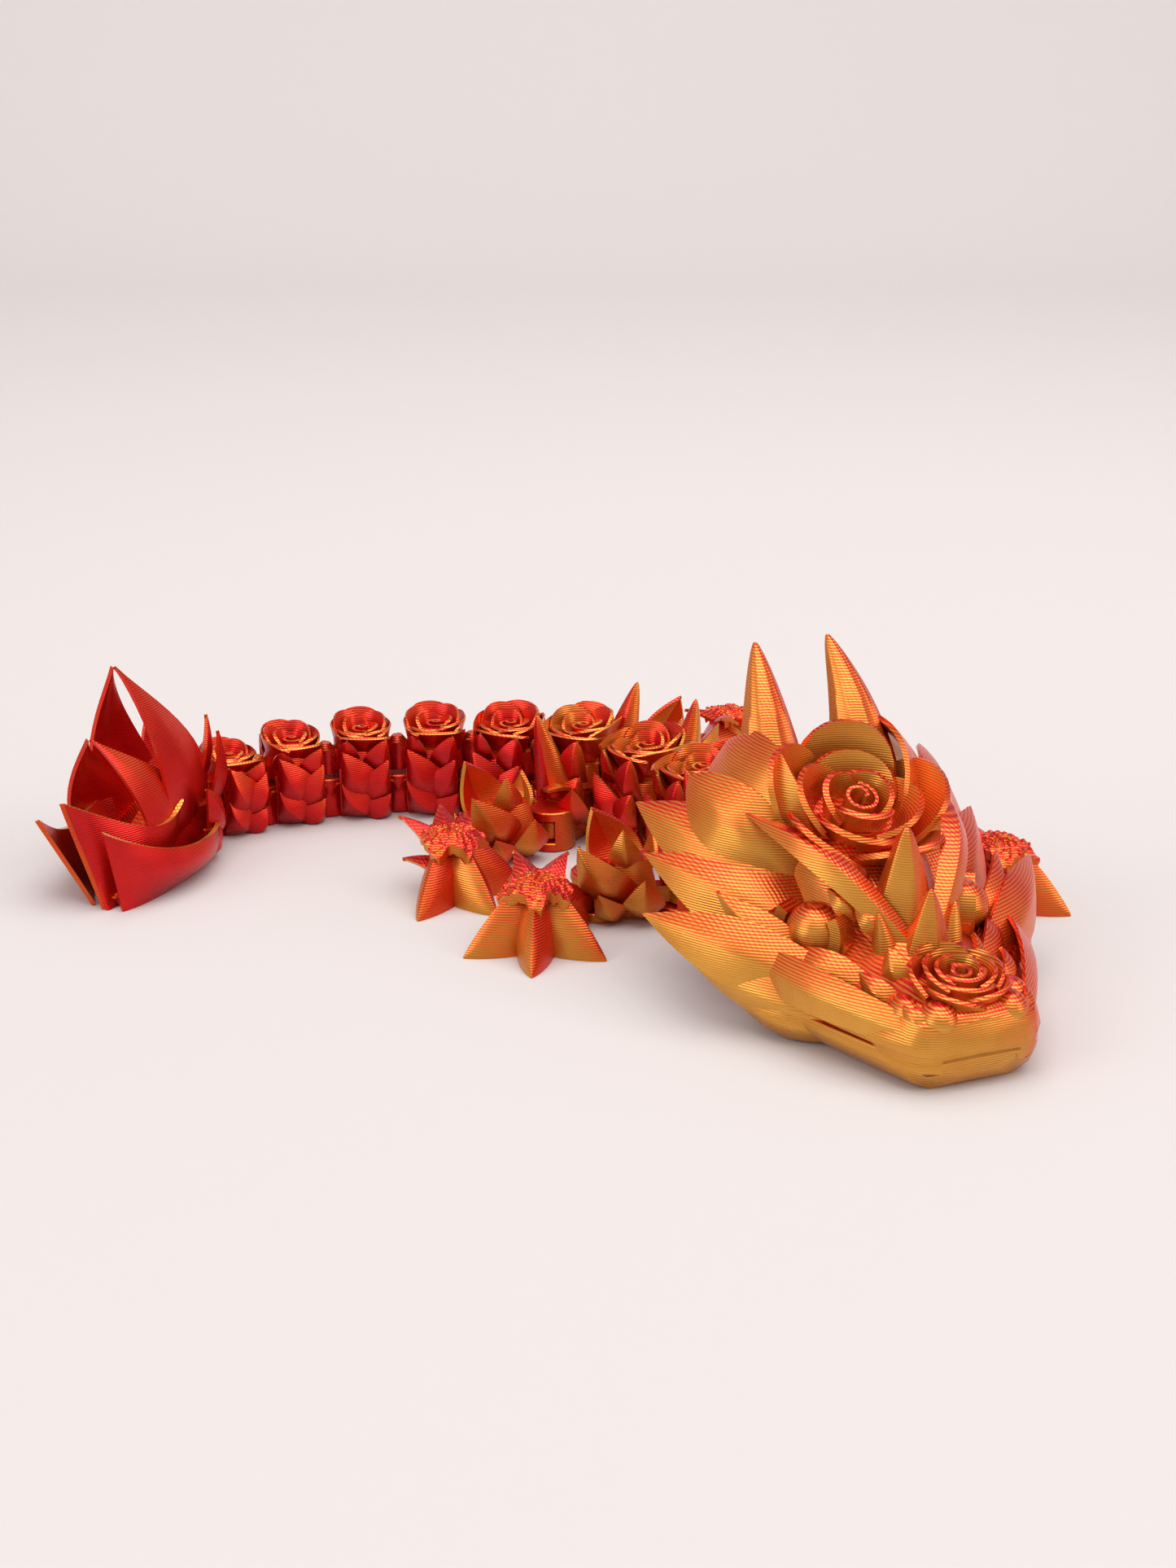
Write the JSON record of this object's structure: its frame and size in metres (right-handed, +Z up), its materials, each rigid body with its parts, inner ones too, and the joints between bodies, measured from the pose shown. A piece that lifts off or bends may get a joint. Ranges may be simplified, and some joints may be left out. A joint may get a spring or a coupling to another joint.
{
  "type": "articulated toy dragon",
  "caption": "Jointed printed dragon toy with a rose on each spine link, a horned head resting on its jaw, clawed legs and an open bud at the tail's end.",
  "frame": {"origin": "on the table, below the middle of the box around the toy as it lies", "axes": "+Z up from the table; +X across the toy from the tail's end towards the head's side, its longest extent; +Y from the head towards the back of the hips"},
  "size_m": [0.156, 0.1338, 0.043],
  "materials": {
    "silk_pla": "two-colour red and gold silk PLA, printed in layers"
  },
  "bodies": {
    "head": {"head": "silk_pla"},
    "shoulders": {"shoulders": "silk_pla"},
    "chest": {"chest": "silk_pla"},
    "belly": {"belly": "silk_pla"},
    "hips": {"hips": "silk_pla"},
    "tail_1": {"tail_1": "silk_pla"},
    "tail_2": {"tail_2": "silk_pla"},
    "tail_3": {"tail_3": "silk_pla"},
    "tail_4": {"tail_4": "silk_pla"},
    "tail_5": {"tail_5": "silk_pla"},
    "tail_tip": {"tail_tip": "silk_pla"},
    "front_right_thigh": {"front_right_thigh": "silk_pla"},
    "front_right_foot": {"front_right_foot": "silk_pla"},
    "front_left_thigh": {"front_left_thigh": "silk_pla"},
    "front_left_foot": {"front_left_foot": "silk_pla"},
    "hind_right_thigh": {"hind_right_thigh": "silk_pla"},
    "hind_right_foot": {"hind_right_foot": "silk_pla"},
    "hind_left_thigh": {"hind_left_thigh": "silk_pla"},
    "hind_left_foot": {"hind_left_foot": "silk_pla"}
  },
  "joints": [
    {"name": "neck", "type": "hinge", "parent": "shoulders", "child": "head", "pos_m": [0.03363, -0.0086, 0.003], "axis": [0, 0, 1], "range_deg": [-20, 12]},
    {"name": "upper_back", "type": "hinge", "parent": "chest", "child": "shoulders", "pos_m": [0.02792, 0.00363, 0.003], "axis": [0, 0, -1], "range_deg": [-36, 10]},
    {"name": "mid_back", "type": "hinge", "parent": "belly", "child": "chest", "pos_m": [0.02057, 0.01496, 0.003], "axis": [0, 0, 1], "range_deg": [-10, 36]},
    {"name": "lower_back", "type": "hinge", "parent": "hips", "child": "belly", "pos_m": [0.01137, 0.02483, 0.003], "axis": [0, 0, -1], "range_deg": [-36, 8]},
    {"name": "tail_root", "type": "hinge", "parent": "hips", "child": "tail_1", "pos_m": [-0.00008, 0.03198, 0.003], "axis": [0, 0, -1], "range_deg": [-13, 44]},
    {"name": "tail_joint_1", "type": "hinge", "parent": "tail_1", "child": "tail_2", "pos_m": [-0.01258, 0.03557, 0.003], "axis": [0, 0, 1], "range_deg": [-43, 14]},
    {"name": "tail_joint_2", "type": "hinge", "parent": "tail_2", "child": "tail_3", "pos_m": [-0.02508, 0.03578, 0.003], "axis": [0, 0, -1], "range_deg": [-17, 40]},
    {"name": "tail_joint_3", "type": "hinge", "parent": "tail_3", "child": "tail_4", "pos_m": [-0.03686, 0.03349, 0.003], "axis": [0, 0, 1], "range_deg": [-39, 18]},
    {"name": "tail_joint_4", "type": "hinge", "parent": "tail_4", "child": "tail_5", "pos_m": [-0.04752, 0.02919, 0.003], "axis": [0, 0, -1], "range_deg": [-13, 44]},
    {"name": "tail_tip_joint", "type": "hinge", "parent": "tail_5", "child": "tail_tip", "pos_m": [-0.05579, 0.02272, 0.003], "axis": [0, 0, 1], "range_deg": [-50, 5]},
    {"name": "front_right_shoulder", "type": "hinge", "parent": "shoulders", "child": "front_right_thigh", "pos_m": [0.02099, -0.0087, 0.003], "axis": [0, 0, 1], "range_deg": [-14, 28]},
    {"name": "front_right_elbow", "type": "hinge", "parent": "front_right_thigh", "child": "front_right_foot", "pos_m": [0.00806, -0.01006, 0.003], "axis": [0, 0, -1], "range_deg": [-14, 28]},
    {"name": "front_left_shoulder", "type": "hinge", "parent": "shoulders", "child": "front_left_thigh", "pos_m": [0.04183, 0.00102, 0.003], "axis": [0, 0, 1], "range_deg": [-18, 36]},
    {"name": "front_left_elbow", "type": "hinge", "parent": "front_left_thigh", "child": "front_left_foot", "pos_m": [0.05476, -0.00034, 0.003], "axis": [0, 0, 1], "range_deg": [-24, 36]},
    {"name": "hind_right_hip", "type": "hinge", "parent": "hips", "child": "hind_right_thigh", "pos_m": [0.00082, 0.01786, 0.003], "axis": [0, 0, -1], "range_deg": [-14, 22]},
    {"name": "hind_right_knee", "type": "hinge", "parent": "hind_right_thigh", "child": "hind_right_foot", "pos_m": [-0.01021, 0.01097, 0.003], "axis": [0, 0, 1], "range_deg": [-36, 14]},
    {"name": "hind_left_hip", "type": "hinge", "parent": "hips", "child": "hind_left_thigh", "pos_m": [0.01301, 0.03736, 0.003], "axis": [0, 0, 1], "range_deg": [-22, 34]},
    {"name": "hind_left_knee", "type": "hinge", "parent": "hind_left_thigh", "child": "hind_left_foot", "pos_m": [0.02403, 0.04425, 0.003], "axis": [0, 0, -1], "range_deg": [-24, 36]}
  ]
}
